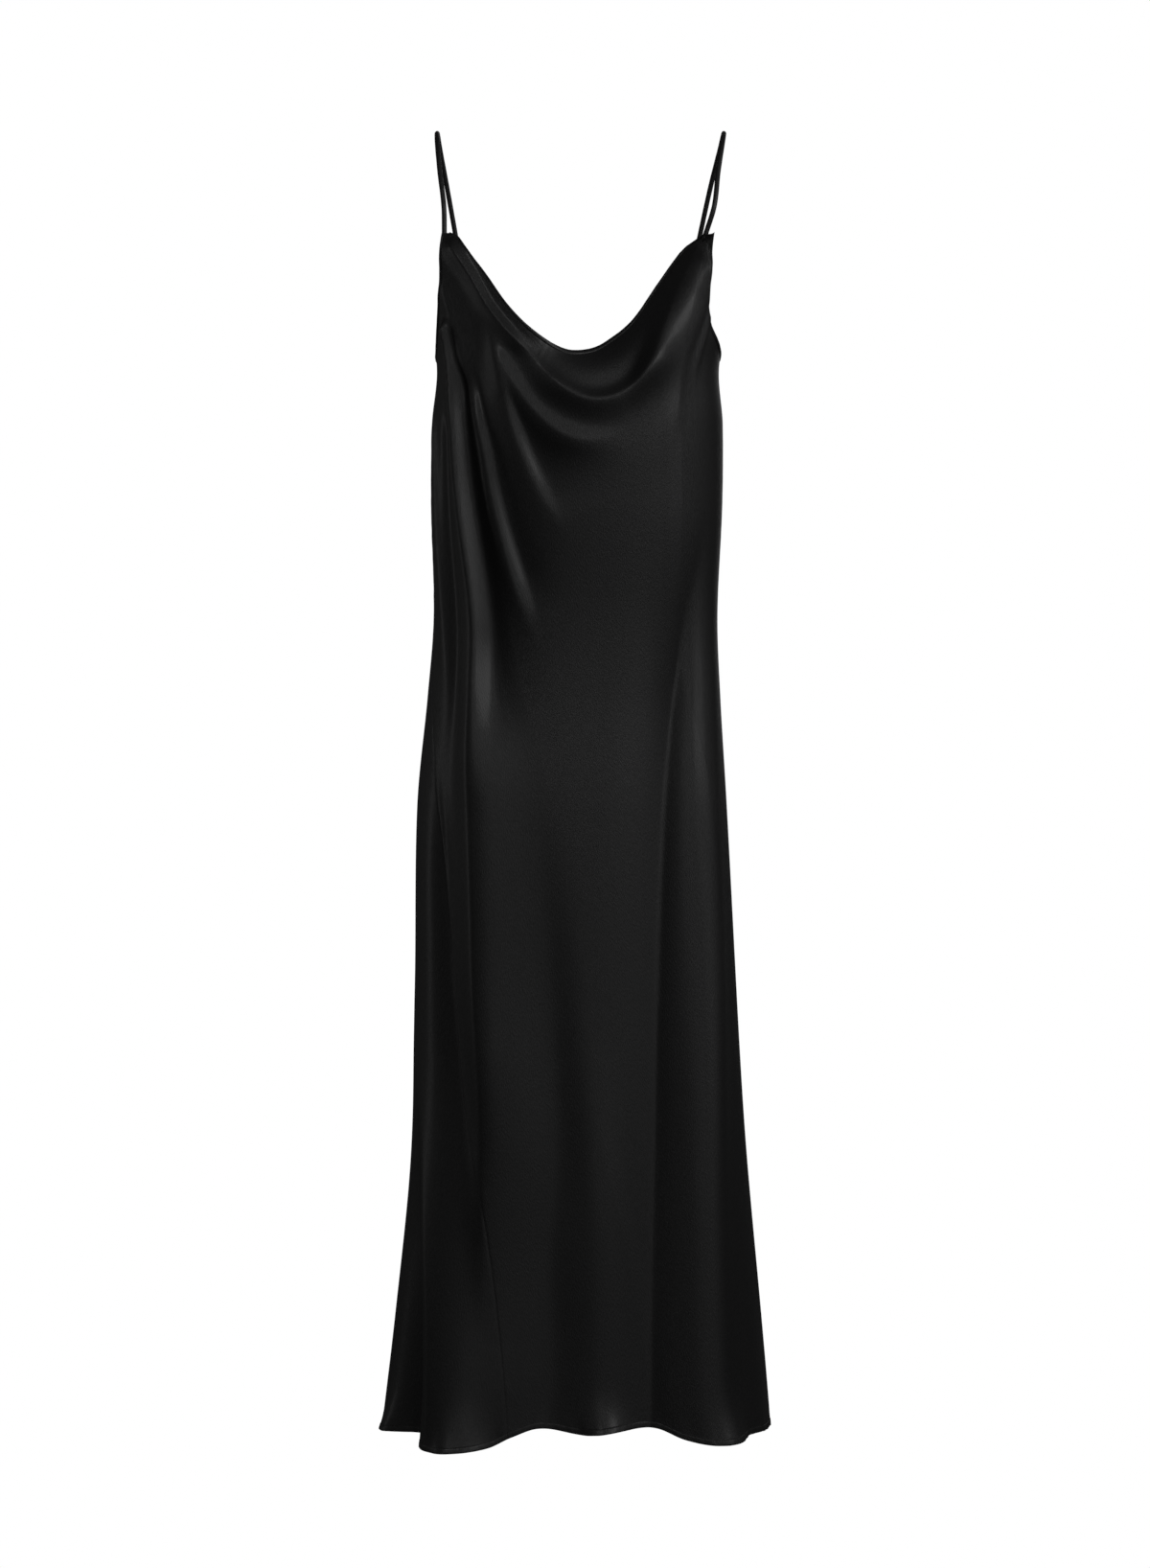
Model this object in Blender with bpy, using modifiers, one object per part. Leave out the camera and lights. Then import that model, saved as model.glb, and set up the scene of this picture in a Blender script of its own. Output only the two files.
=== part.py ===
"""Bias-cut satin slip dress with a cowl neck and rouleau straps, filled out and open.

Metres, +Z up.  The origin lies midway between the two places where the straps pass
over the shoulders, at the underside of the straps.  The front of the dress faces -Y
and its length hangs down along -Z.  Angles run round the body in degrees: 0 is centre
front, +90 the side at +X, -90 the side at -X and 180 centre back.
"""
import math
from collections import namedtuple

import bmesh
import bpy
from mathutils import Vector

# ------------------------------------------------------------------ driving sizes
CLOTH_WALL = 0.0014         # thickness of a panel
SEAM_GAP = 0.0006           # free space between two panels at a seam, along the cloth
BUTT_GAP = 0.0003           # free space between a bead or strap and what it meets
STRAP_DIAMETER = 0.0048
BEAD_DIAMETER = 0.0028      # binding rolled over the armhole and back neck edges
STRAP_FRONT_CLEAR = 0.0011  # from the front corner's edge to the strap's axis end
STRAP_BACK_CLEAR = 0.0036   # the same at the back, over the binding
SQUARENESS = 0.025          # how far the body's rings lean from ellipse to box
UNROLLED_RADIUS = 0.135     # turns an angle into a length when folds are laid out
EDGE_PROBE = 0.004          # how far below an edge the cloth's slope is read

TIP_OUTER = 41.3            # angles of the strap corners of the front, left and right
TIP_INNER = 38.3
UNDERARM = 94.0             # angle of both side seams at the underarm
RIGHT_STRAP_AT_BACK = 138.5
LEFT_STRAP_AT_BACK = 227.0
BINDING_STARTS = 0.30       # share of the first armhole chord left free at the corner

ROWS = 28                   # mesh rows from top edge to hem
ROW_CROWDING = 1.35         # above 1, rows stand closer together at the top
ARMHOLE_COLUMNS = 7
NECK_COLUMNS = 17
BACK_SIDE_COLUMNS = 10      # from a side seam to a strap
BACK_NECK_COLUMNS = 18      # between the straps

CLOTH_COLOUR = (0.008, 0.008, 0.009, 1.0)

# ------------------------------------------------------------------ short tables
# Half breadths and depths of the body form, ring by ring from the top.
Section = namedtuple("Section", "z left right front back")
SECTIONS = (
    Section(0.010, -0.215, 0.212, 0.060, 0.070),
    Section(-0.101, -0.196, 0.192, 0.088, 0.090),
    Section(-0.160, -0.166, 0.162, 0.101, 0.099),
    Section(-0.225, -0.1445, 0.1395, 0.114, 0.101),
    Section(-0.290, -0.1488, 0.1425, 0.120, 0.098),
    Section(-0.370, -0.1497, 0.1420, 0.114, 0.090),
    Section(-0.480, -0.1470, 0.1372, 0.104, 0.088),
    Section(-0.560, -0.1530, 0.1400, 0.103, 0.101),
    Section(-0.670, -0.1635, 0.1465, 0.108, 0.114),
    Section(-0.850, -0.1660, 0.1560, 0.113, 0.117),
    Section(-1.020, -0.1710, 0.1650, 0.121, 0.122),
    Section(-1.180, -0.1860, 0.1770, 0.131, 0.130),
    Section(-1.300, -0.2000, 0.1880, 0.140, 0.138),
)

# Side seams: the cut twists as it hangs, so both seams wander towards +X going down.
SeamAt = namedtuple("SeamAt", "z left right")
SEAMS = (
    SeamAt(-0.200, -UNDERARM, UNDERARM),
    SeamAt(-0.300, -UNDERARM, UNDERARM),
    SeamAt(-0.420, -89.0, 95.0),
    SeamAt(-0.540, -76.0, 98.0),
    SeamAt(-0.640, -60.0, 102.0),
    SeamAt(-0.800, -49.0, 110.0),
    SeamAt(-0.940, -41.5, 118.0),
    SeamAt(-1.100, -28.5, 127.0),
    SeamAt(-1.200, -22.5, 132.0),
    SeamAt(-1.310, -18.0, 137.0),
)

# Height of the front's top edge: armhole, strap corner, cowl neck, corner, armhole.
EdgeAt = namedtuple("EdgeAt", "angle z")
LEFT_ARMHOLE = (
    EdgeAt(-94.0, -0.2230), EdgeAt(-82.0, -0.2190), EdgeAt(-71.0, -0.2030),
    EdgeAt(-59.0, -0.1760), EdgeAt(-51.0, -0.1490), EdgeAt(-44.5, -0.1230),
    EdgeAt(-TIP_OUTER, -0.1050),
)
COWL_NECK = (
    EdgeAt(-TIP_INNER, -0.1055), EdgeAt(-35.0, -0.1110), EdgeAt(-31.0, -0.1340),
    EdgeAt(-24.0, -0.1740), EdgeAt(-15.0, -0.2070), EdgeAt(-5.0, -0.2226),
    EdgeAt(5.0, -0.2212), EdgeAt(13.0, -0.2105), EdgeAt(22.0, -0.1850),
    EdgeAt(29.5, -0.1480), EdgeAt(34.5, -0.1210), EdgeAt(TIP_INNER, -0.1060),
)
RIGHT_ARMHOLE = (
    EdgeAt(TIP_OUTER, -0.1050), EdgeAt(46.0, -0.1330), EdgeAt(50.5, -0.1610),
    EdgeAt(59.0, -0.1910), EdgeAt(68.0, -0.2060), EdgeAt(83.0, -0.2180),
    EdgeAt(94.0, -0.2220),
)
# Top edge of the back, at angles counted on past the +X side to 360.
BACK_TOP = (
    EdgeAt(94.0, -0.2220), EdgeAt(112.0, -0.2210), EdgeAt(127.0, -0.2140),
    EdgeAt(138.5, -0.2085), EdgeAt(150.0, -0.2160), EdgeAt(180.0, -0.2330),
    EdgeAt(214.0, -0.2170), EdgeAt(227.0, -0.2085), EdgeAt(238.0, -0.2140),
    EdgeAt(251.0, -0.2210), EdgeAt(266.0, -0.2230),
)
# Hem, once round: lower where the skirt swings forward.
HEM = (
    EdgeAt(-96.0, -1.2860), EdgeAt(-80.0, -1.2860), EdgeAt(-56.0, -1.2850),
    EdgeAt(-48.0, -1.2955), EdgeAt(-40.0, -1.2972), EdgeAt(-25.0, -1.2930),
    EdgeAt(-18.0, -1.2835), EdgeAt(-10.0, -1.2755), EdgeAt(2.5, -1.2812),
    EdgeAt(12.0, -1.2780), EdgeAt(21.0, -1.2725), EdgeAt(30.0, -1.2870),
    EdgeAt(40.0, -1.2925), EdgeAt(60.0, -1.2880), EdgeAt(85.0, -1.2860),
    EdgeAt(110.0, -1.2930), EdgeAt(135.0, -1.2840), EdgeAt(160.0, -1.2930),
    EdgeAt(186.0, -1.2850), EdgeAt(212.0, -1.2940), EdgeAt(238.0, -1.2840),
    EdgeAt(264.0, -1.2860),
)

# The largest folds.  A fold runs along a smooth line of (angle, z) points; it stands
# out by height at its crest (a trough when negative), dies away over the width on its
# left and on its right as one walks down the line, and fades in and out at its ends.
Fold = namedtuple("Fold", "name height left_width right_width fade_in fade_out line")
FOLDS = (
    Fold("cowl roll", 0.0090, 0.012, 0.016, 0.03, 0.03,
         ((-37.8, -0.112), (-37.2, -0.155), (-32.0, -0.190), (-22.0, -0.220),
          (-8.0, -0.251), (6.0, -0.268), (20.0, -0.256), (30.0, -0.226),
          (36.5, -0.182), (38.2, -0.112))),
    Fold("second swag", 0.0050, 0.010, 0.013, 0.04, 0.06,
         ((-32.0, -0.222), (-22.0, -0.256), (-8.0, -0.296), (5.0, -0.309),
          (17.0, -0.302), (24.0, -0.282))),
    Fold("inner drape", 0.0050, 0.012, 0.014, 0.05, 0.20,
         ((-31.5, -0.232), (-27.0, -0.262), (-18.0, -0.316), (-8.0, -0.370),
          (0.0, -0.410), (4.0, -0.440))),
    Fold("middle drape", 0.0060, 0.013, 0.013, 0.06, 0.16,
         ((-50.0, -0.160), (-50.0, -0.225), (-43.0, -0.275), (-35.0, -0.325),
          (-27.0, -0.390), (-18.0, -0.455), (-10.0, -0.510))),
    Fold("outer drape", 0.0055, 0.011, 0.011, 0.06, 0.25,
         ((-56.0, -0.200), (-55.0, -0.260), (-50.0, -0.320), (-46.0, -0.400),
          (-41.0, -0.480), (-35.0, -0.560), (-31.0, -0.640))),
    Fold("right trough", -0.0100, 0.018, 0.030, 0.30, 0.01,
         ((55.0, -0.380), (50.0, -0.480), (41.0, -0.580), (34.0, -0.690),
          (31.0, -0.830), (27.0, -1.000), (24.0, -1.150), (21.0, -1.300))),
    Fold("left flute", 0.0160, 0.040, 0.009, 0.40, 0.01,
         ((-70.0, -0.900), (-58.0, -1.040), (-51.0, -1.150), (-46.0, -1.240),
          (-44.5, -1.310))),
    Fold("behind the flute", -0.0190, 0.010, 0.034, 0.40, 0.01,
         ((-80.0, -0.900), (-70.0, -1.040), (-62.0, -1.150), (-56.0, -1.240),
          (-54.5, -1.310))),
    Fold("seam trough", -0.0090, 0.020, 0.014, 0.25, 0.01,
         ((-44.0, -0.700), (-40.0, -0.850), (-34.0, -0.950), (-25.0, -1.080),
          (-16.0, -1.180), (-10.5, -1.310))),
    Fold("front flute", 0.0080, 0.030, 0.022, 0.30, 0.01,
         ((46.0, -1.000), (43.0, -1.150), (41.0, -1.310))),
    Fold("side flute", 0.0110, 0.036, 0.036, 0.40, 0.01,
         ((104.0, -0.850), (110.0, -1.310))),
    Fold("back flute right", 0.0120, 0.036, 0.036, 0.40, 0.01,
         ((152.0, -0.800), (160.0, -1.310))),
    Fold("back trough right", -0.0110, 0.034, 0.034, 0.40, 0.01,
         ((129.0, -0.850), (135.0, -1.310))),
    Fold("back trough centre", -0.0100, 0.032, 0.032, 0.40, 0.01,
         ((180.0, -0.760), (186.0, -1.310))),
    Fold("back flute left", 0.0120, 0.036, 0.036, 0.40, 0.01,
         ((206.0, -0.800), (212.0, -1.310))),
    Fold("back trough left", -0.0110, 0.034, 0.034, 0.40, 0.01,
         ((233.0, -0.850), (238.0, -1.310))),
    Fold("back waist fold", 0.0050, 0.016, 0.016, 0.10, 0.15,
         ((160.0, -0.330), (172.0, -0.450), (178.0, -0.600))),
    Fold("back side fold", 0.0050, 0.015, 0.015, 0.10, 0.15,
         ((222.0, -0.300), (210.0, -0.420), (205.0, -0.560))),
)

# Strap routes over the shoulders, between the seats on the front and the back.
StrapAt = namedtuple("StrapAt", "x y z")
STRAP_ROUTES = {
    "left": (StrapAt(-0.1352, -0.0650, -0.0780), StrapAt(-0.1393, -0.0500, -0.0430),
             StrapAt(-0.1424, -0.0280, -0.0100), StrapAt(-0.1433, -0.0020, 0.0024),
             StrapAt(-0.1422, 0.0230, -0.0100), StrapAt(-0.1374, 0.0430, -0.0440),
             StrapAt(-0.1286, 0.0620, -0.1000), StrapAt(-0.1185, 0.0735, -0.1560)),
    "right": (StrapAt(0.1312, -0.0650, -0.0780), StrapAt(0.1352, -0.0500, -0.0430),
              StrapAt(0.1408, -0.0280, -0.0100), StrapAt(0.1430, -0.0020, 0.0024),
              StrapAt(0.1410, 0.0230, -0.0100), StrapAt(0.1340, 0.0430, -0.0440),
              StrapAt(0.1228, 0.0620, -0.1000), StrapAt(0.1095, 0.0735, -0.1560)),
}


# ------------------------------------------------------------------ smooth curves
def spline(keys, values, at):
    """Smooth curve through the values, whose keys rise or fall steadily."""
    if keys[0] > keys[-1]:
        keys, values = keys[::-1], values[::-1]
    at = min(max(at, keys[0]), keys[-1])
    last = len(keys) - 1
    low = max(i for i in range(last) if keys[i] <= at)
    high = low + 1

    def slope(i):
        before, after = max(i - 1, 0), min(i + 1, last)
        return (values[after] - values[before]) / (keys[after] - keys[before])

    span = keys[high] - keys[low]
    t = (at - keys[low]) / span
    return ((2 * t**3 - 3 * t**2 + 1) * values[low]
            + (t**3 - 2 * t**2 + t) * span * slope(low)
            + (3 * t**2 - 2 * t**3) * values[high]
            + (t**3 - t**2) * span * slope(high))


def column(table, name):
    return [getattr(row, name) for row in table]


def edge_height(table, angle):
    return spline(column(table, "angle"), column(table, "z"), angle)


def smooth_route(points, count):
    """Evenly counted points on a smooth curve through a few chosen ones."""
    keys = [0.0]
    for a, b in zip(points, points[1:]):
        keys.append(keys[-1] + (Vector(b) - Vector(a)).length)
    axes = list(zip(*points))
    steps = [keys[-1] * i / (count - 1) for i in range(count)]
    return [Vector([spline(keys, list(axis), s) for axis in axes]) for s in steps]


# ------------------------------------------------------------------ the cloth's form
def unrolled(angle, z):
    """Place of an angle and height on a flat layout, where folds are measured."""
    return Vector((math.radians(angle) * UNROLLED_RADIUS, z))


def fade(t):
    t = min(max(t, 0.0), 1.0)
    return t * t * (3 - 2 * t)


def fold_routes():
    """Each fold with its line as a smooth run of unrolled points."""
    routes = []
    for fold in FOLDS:
        points = [(angle / 100, z) for angle, z in fold.line]
        smooth = smooth_route(points, 24)
        routes.append((fold, [unrolled(p.x * 100, p.y) for p in smooth]))
    return routes


FOLD_ROUTES = fold_routes()


def fold_height(fold, route, here):
    """How far one fold moves the cloth out at a place on the flat layout."""
    nearest, side, walked, travelled = math.inf, 1.0, 0.0, 0.0
    for a, b in zip(route, route[1:]):
        step = b - a
        share = min(max((here - a).dot(step) / step.length_squared, 0.0), 1.0)
        away = here - (a + step * share)
        if away.length < nearest:
            nearest = away.length
            side = step.x * away.y - step.y * away.x
            walked = travelled + share * step.length
        travelled += step.length
    width = fold.left_width if side > 0 else fold.right_width
    ends = fade(walked / fold.fade_in) * fade((travelled - walked) / fold.fade_out)
    return fold.height * math.exp(-(nearest / width) ** 2) * ends


def body_ring(angle, z):
    """Point of the plain body form, before any fold."""
    turn = math.radians(angle)
    keys = column(SECTIONS, "z")
    left, right, front, back = (
        spline(keys, column(SECTIONS, side), z) for side in ("left", "right", "front", "back"))
    across = (math.sin(turn) + SQUARENESS * math.sin(3 * turn)) / (1 - SQUARENESS)
    along = (math.cos(turn) - SQUARENESS * math.cos(3 * turn)) / (1 - SQUARENESS)
    depth = front if along > 0 else back
    return Vector(((left + right) / 2 + across * (right - left) / 2, -depth * along, z))


def cloth_point(angle, z):
    """Point of the cloth: the body form moved out or in by the folds."""
    ahead, behind = body_ring(angle + 1, z), body_ring(angle - 1, z)
    tangent = (ahead - behind).normalized()
    outward = Vector((tangent.y, -tangent.x, 0))
    wrapped = angle if angle < UNDERARM + 2 else angle - 360
    height = 0.0
    for fold, route in FOLD_ROUTES:
        for turned in (wrapped, wrapped + 360):
            height += fold_height(fold, route, unrolled(turned, z))
    return body_ring(angle, z) + outward * height


def seam_angle(side, z):
    return spline(column(SEAMS, "z"), column(SEAMS, side), z)


def row_height(top, hem, row):
    return top + (hem - top) * (row / ROWS) ** ROW_CROWDING


# ------------------------------------------------------------------ modelling tools
def make_material(name, roughness):
    material = bpy.data.materials.new(name)
    material.use_nodes = True
    shader = material.node_tree.nodes["Principled BSDF"]
    shader.inputs["Base Color"].default_value = CLOTH_COLOUR
    shader.inputs["Roughness"].default_value = roughness
    shader.inputs["Metallic"].default_value = 0.0
    return material


def make_panel(name, angles, top_edge, collection, material):
    """A cloth panel: a grid laid on the cloth's form, then given its thickness.

    angles holds each column's angle at the top edge, from seam to seam; top_edge
    gives the height of the panel's top at an angle.
    """
    columns = len(angles) - 1
    first, last = angles[0], angles[-1]
    grid = bmesh.new()
    bmesh.ops.create_grid(grid, x_segments=columns, y_segments=ROWS, size=1.0)
    for vertex in grid.verts:
        place = round((vertex.co.x + 1) / 2 * columns)
        row = ROWS - round((vertex.co.y + 1) / 2 * ROWS)
        share = (angles[place] - first) / (last - first)
        top = top_edge(angles[place])
        angle, z = angles[place], top
        for _ in range(4):
            start, end = panel_span(name, z)
            angle = start + share * (end - start)
            z = row_height(top, edge_height(HEM, hem_angle(angle)), row)
        vertex.co = cloth_point(angle, z)
    mesh = bpy.data.meshes.new(name)
    bmesh.ops.recalc_face_normals(grid, faces=grid.faces)
    face_outwards(grid)
    grid.to_mesh(mesh)
    grid.free()
    mesh.shade_smooth()
    panel = bpy.data.objects.new(name, mesh)
    collection.objects.link(panel)
    mesh.materials.append(material)
    wall = panel.modifiers.new("cloth thickness", "SOLIDIFY")
    wall.thickness = CLOTH_WALL
    wall.offset = 0.0
    wall.use_even_offset = False
    wall.use_quality_normals = True
    return panel


def face_outwards(grid):
    """Turn the whole sheet over if it faces the middle of the body."""
    grid.faces.ensure_lookup_table()
    facing = sum(face.normal.x * face.calc_center_median().x
                 + face.normal.y * face.calc_center_median().y for face in grid.faces)
    if facing < 0:
        bmesh.ops.reverse_faces(grid, faces=grid.faces)


def hem_angle(angle):
    return angle if angle <= 264 else angle - 360


def panel_span(name, z):
    """The angles between which a panel lies at a height, clear of both seams."""
    clear = math.degrees(SEAM_GAP / 2 / UNROLLED_RADIUS)
    left, right = seam_angle("left", z), seam_angle("right", z)
    if name == "front":
        return left + clear, right - clear
    return right + clear, left + 360 - clear


def front_top(angle):
    if angle <= -TIP_OUTER:
        return edge_height(LEFT_ARMHOLE, angle)
    if angle >= TIP_OUTER:
        return edge_height(RIGHT_ARMHOLE, angle)
    return edge_height(COWL_NECK, angle)


def back_top(angle):
    return edge_height(BACK_TOP, angle)


def spread(start, end, count):
    """Count steps from start up to, but not including, end."""
    return [start + (end - start) * i / count for i in range(count)]


def make_tube(name, points, diameter, sides_detail, collection, material):
    """A solid cord through the points, with closed ends."""
    curve = bpy.data.curves.new(name, "CURVE")
    curve.dimensions = "3D"
    curve.bevel_depth = diameter / 2
    curve.bevel_resolution = sides_detail
    curve.use_fill_caps = True
    line = curve.splines.new("POLY")
    line.points.add(len(points) - 1)
    for point, place in zip(line.points, points):
        point.co = (*place, 1.0)
    tube = bpy.data.objects.new(name, curve)
    collection.objects.link(tube)
    curve.materials.append(material)
    return tube


def bead_route(places, start=0.0, end=0.0):
    """Line of a bead on a panel's top edge: the panel's own edge points, moved out.

    places holds (angle, z) at the panel's columns; start and end are the shares of
    the first and last chord that the bead leaves free.
    """
    edge = [cloth_point(angle, z) for angle, z in places]
    below = [cloth_point(angle, z - EDGE_PROBE) for angle, z in places]
    route = []
    for i, (here, under) in enumerate(zip(edge, below)):
        along = (edge[min(i + 1, len(edge) - 1)] - edge[max(i - 1, 0)]).normalized()
        away = here - under
        away = (away - along * away.dot(along)).normalized()
        route.append(here + away * (BUTT_GAP + BEAD_DIAMETER / 2))
    route[0] = route[0].lerp(route[1], start)
    route[-1] = route[-1].lerp(route[-2], end)
    return route


# ------------------------------------------------------------------ the pieces
def front_angles():
    """The front's columns: two armholes, the cowl neck and a strap corner each side."""
    return (spread(-UNDERARM, -TIP_OUTER, ARMHOLE_COLUMNS) + [-TIP_OUTER]
            + spread(-TIP_INNER, TIP_INNER, NECK_COLUMNS) + [TIP_INNER]
            + spread(TIP_OUTER, UNDERARM, ARMHOLE_COLUMNS) + [UNDERARM])


def back_angles():
    """The back's columns, with one at each strap."""
    return (spread(UNDERARM, RIGHT_STRAP_AT_BACK, BACK_SIDE_COLUMNS)
            + spread(RIGHT_STRAP_AT_BACK, LEFT_STRAP_AT_BACK, BACK_NECK_COLUMNS)
            + spread(LEFT_STRAP_AT_BACK, 360 - UNDERARM, BACK_SIDE_COLUMNS)
            + [360 - UNDERARM])


def make_armhole_binding(side, collection, material):
    """A bead from under the strap corner, round the underarm, to the back strap."""
    front, back = front_angles(), back_angles()
    if side == "left":
        front_part = front[ARMHOLE_COLUMNS:0:-1]
        back_part = back[:-BACK_SIDE_COLUMNS - 2:-1]
    else:
        front_part = front[-ARMHOLE_COLUMNS - 1:-1]
        back_part = back[:BACK_SIDE_COLUMNS + 1]
    places = [(a, front_top(a)) for a in front_part] + [(a, back_top(a)) for a in back_part]
    route = bead_route(places, start=BINDING_STARTS, end=BINDING_STARTS / 3)
    return make_tube("armhole_binding_" + side, route, BEAD_DIAMETER, 1, collection, material)


def make_back_neck_binding(collection, material):
    middle = back_angles()[BACK_SIDE_COLUMNS:-BACK_SIDE_COLUMNS]
    route = bead_route([(a, back_top(a)) for a in middle],
                       start=BINDING_STARTS / 3, end=BINDING_STARTS / 3)
    return make_tube("back_neck_binding", route, BEAD_DIAMETER, 1, collection, material)


def make_strap(side, collection, material):
    """A rouleau strap seated on the front's corner and on the back's binding."""
    sign = -1 if side == "left" else 1
    corners = [cloth_point(sign * a, front_top(sign * a)) for a in (TIP_OUTER, TIP_INNER)]
    front_seat = corners[0].lerp(corners[1], 0.5)
    strap_angle = LEFT_STRAP_AT_BACK if side == "left" else RIGHT_STRAP_AT_BACK
    back_seat = cloth_point(strap_angle, back_top(strap_angle))
    middle = [Vector(place) for place in STRAP_ROUTES[side]]
    front_seat += (middle[0] - front_seat).normalized() * STRAP_FRONT_CLEAR
    back_seat += (middle[-1] - back_seat).normalized() * STRAP_BACK_CLEAR
    route = smooth_route([front_seat] + middle + [back_seat], 22)
    return make_tube("strap_" + side, route, STRAP_DIAMETER, 2, collection, material)


def clear_scene():
    for thing in list(bpy.data.objects):
        bpy.data.objects.remove(thing, do_unlink=True)


def main():
    clear_scene()
    collection = bpy.data.collections.new("slip dress")
    bpy.context.scene.collection.children.link(collection)
    satin = make_material("satin", 0.35)
    rouleau = make_material("rouleau satin", 0.45)
    make_panel("front", front_angles(), front_top, collection, satin)
    make_panel("back", back_angles(), back_top, collection, satin)
    for side in ("left", "right"):
        make_strap(side, collection, rouleau)
        make_armhole_binding(side, collection, rouleau)
    make_back_neck_binding(collection, rouleau)


main()
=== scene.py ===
"""Looks of a black satin slip dress: cut on the bias, cowl neck, rouleau straps.

Every length is in metres and every angle round the body in degrees: 0 is centre
front, +90 the side at +X, -90 the side at -X and 180 centre back.  The dress hangs
down along -Z from the origin, which lies between its two shoulder points.
"""

import math
from collections import namedtuple

import bmesh
import bpy
import numpy as np
from bpy.props import FloatProperty, FloatVectorProperty, IntProperty, PointerProperty
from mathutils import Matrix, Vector


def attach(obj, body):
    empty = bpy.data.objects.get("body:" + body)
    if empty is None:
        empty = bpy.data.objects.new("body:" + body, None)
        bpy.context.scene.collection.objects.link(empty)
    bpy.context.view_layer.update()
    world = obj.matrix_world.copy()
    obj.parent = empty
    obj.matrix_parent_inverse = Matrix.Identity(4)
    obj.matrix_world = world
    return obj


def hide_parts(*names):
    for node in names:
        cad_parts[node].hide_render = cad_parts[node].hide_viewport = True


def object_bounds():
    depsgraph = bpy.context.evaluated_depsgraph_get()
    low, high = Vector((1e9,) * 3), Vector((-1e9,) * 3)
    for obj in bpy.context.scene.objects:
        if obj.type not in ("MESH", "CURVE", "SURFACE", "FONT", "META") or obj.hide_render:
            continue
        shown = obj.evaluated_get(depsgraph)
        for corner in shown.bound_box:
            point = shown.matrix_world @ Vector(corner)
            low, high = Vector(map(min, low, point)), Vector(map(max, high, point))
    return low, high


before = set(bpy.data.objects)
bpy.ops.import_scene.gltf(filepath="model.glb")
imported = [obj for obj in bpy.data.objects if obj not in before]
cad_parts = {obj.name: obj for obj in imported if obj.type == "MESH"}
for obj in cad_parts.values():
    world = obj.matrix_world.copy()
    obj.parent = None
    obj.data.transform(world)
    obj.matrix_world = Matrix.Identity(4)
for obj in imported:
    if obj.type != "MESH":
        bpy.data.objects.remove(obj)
CAD_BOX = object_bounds()

bl_info = {
    "name": "Slip dress",
    "version": (1, 0, 0),
    "blender": (4, 5, 0),
    "location": "View3D > Sidebar > Dress",
    "description": "Builds a black satin slip dress on its solid frame, piece by piece",
    "category": "Add Mesh",
}

# ---------- the cut
TIP_OUTER = 41.3            # strap corners of the front
TIP_INNER = 38.3
UNDERARM = 94.0             # both side seams at the underarm
RIGHT_STRAP_AT_BACK = 138.5
LEFT_STRAP_AT_BACK = 227.0
SQUARENESS = 0.025

# The plain body form: at each height, its reach to the left, right, front and back.
SECTIONS = (
    (-1.3, -0.2, 0.188, 0.14, 0.138),
    (-1.18, -0.186, 0.177, 0.131, 0.13),
    (-1.02, -0.171, 0.165, 0.121, 0.122),
    (-0.85, -0.166, 0.156, 0.113, 0.117),
    (-0.67, -0.1635, 0.1465, 0.108, 0.114),
    (-0.56, -0.153, 0.14, 0.103, 0.101),
    (-0.48, -0.147, 0.1372, 0.104, 0.088),
    (-0.37, -0.1497, 0.142, 0.114, 0.09),
    (-0.29, -0.1488, 0.1425, 0.12, 0.098),
    (-0.225, -0.1445, 0.1395, 0.114, 0.101),
    (-0.16, -0.166, 0.162, 0.101, 0.099),
    (-0.101, -0.196, 0.192, 0.088, 0.09),
    (0.01, -0.215, 0.212, 0.06, 0.07),
)

# The side seams: at each height, the angle of the left one and of the right one.
SEAMS = (
    (-1.31, -18, 137),
    (-1.2, -22.5, 132),
    (-1.1, -28.5, 127),
    (-0.94, -41.5, 118),
    (-0.8, -49, 110),
    (-0.64, -60, 102),
    (-0.54, -76, 98),
    (-0.42, -89, 95),
    (-0.3, -UNDERARM, UNDERARM),
    (-0.2, -UNDERARM, UNDERARM),
)

# Edges of the panels, as (angle, z) points from one end to the other.
LEFT_ARMHOLE = (
    (-94, -0.223), (-82, -0.219), (-71, -0.203), (-59, -0.176), (-51, -0.149), (-44.5, -0.123),
    (-TIP_OUTER, -0.105),
)
COWL_NECK = (
    (-TIP_INNER, -0.1055), (-35, -0.111), (-31, -0.137), (-24, -0.178), (-15, -0.207),
    (-5, -0.2226), (5, -0.2212), (13, -0.2105), (22, -0.1895), (29.5, -0.153), (34.5, -0.121),
    (TIP_INNER, -0.106),
)
RIGHT_ARMHOLE = (
    (TIP_OUTER, -0.105), (46, -0.133), (50.5, -0.161), (59, -0.191), (68, -0.206), (83, -0.218),
    (94, -0.222),
)
BACK_TOP = (
    (94, -0.222), (112, -0.221), (127, -0.214), (138.5, -0.2085), (150, -0.216), (180, -0.233),
    (214, -0.217), (227, -0.2085), (238, -0.214), (251, -0.221), (266, -0.223),
)
HEM = (
    (-96, -1.2875), (-80, -1.289), (-56, -1.289), (-48, -1.2955), (-40, -1.2972), (-25, -1.293),
    (-18, -1.2835), (-10, -1.2755), (2.5, -1.2812), (12, -1.278), (23.5, -1.277), (31.5, -1.2875),
    (40, -1.2925), (60, -1.289), (85, -1.2915), (110, -1.293), (135, -1.284), (160, -1.293),
    (186, -1.285), (212, -1.294), (238, -1.284), (264, -1.2875),
)

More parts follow.
